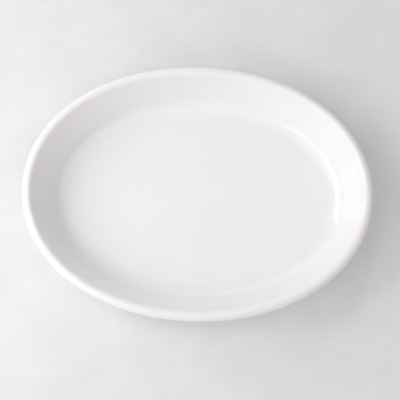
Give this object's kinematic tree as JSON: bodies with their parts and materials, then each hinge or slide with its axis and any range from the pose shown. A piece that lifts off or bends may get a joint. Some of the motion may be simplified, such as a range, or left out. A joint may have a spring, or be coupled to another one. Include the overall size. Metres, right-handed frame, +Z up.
{
  "type": "oval serving platter",
  "caption": "Deep oval serving platter of plain white glazed china with a thick rolled rim, a coved wall, a flat well and a foot ring.",
  "frame": {"origin": "centre of the oval, in the plane of the foot ring's bearing face", "axes": "+X along the oval's length, +Y across it, +Z up out of the well"},
  "size_m": [0.4058, 0.305, 0.052],
  "materials": {
    "bisque": "matte",
    "glaze": "gloss"
  },
  "bodies": {
    "root": {"clay_body": "bisque", "glaze_coat": "glaze", "base_glaze": "glaze"}
  },
  "joints": []
}
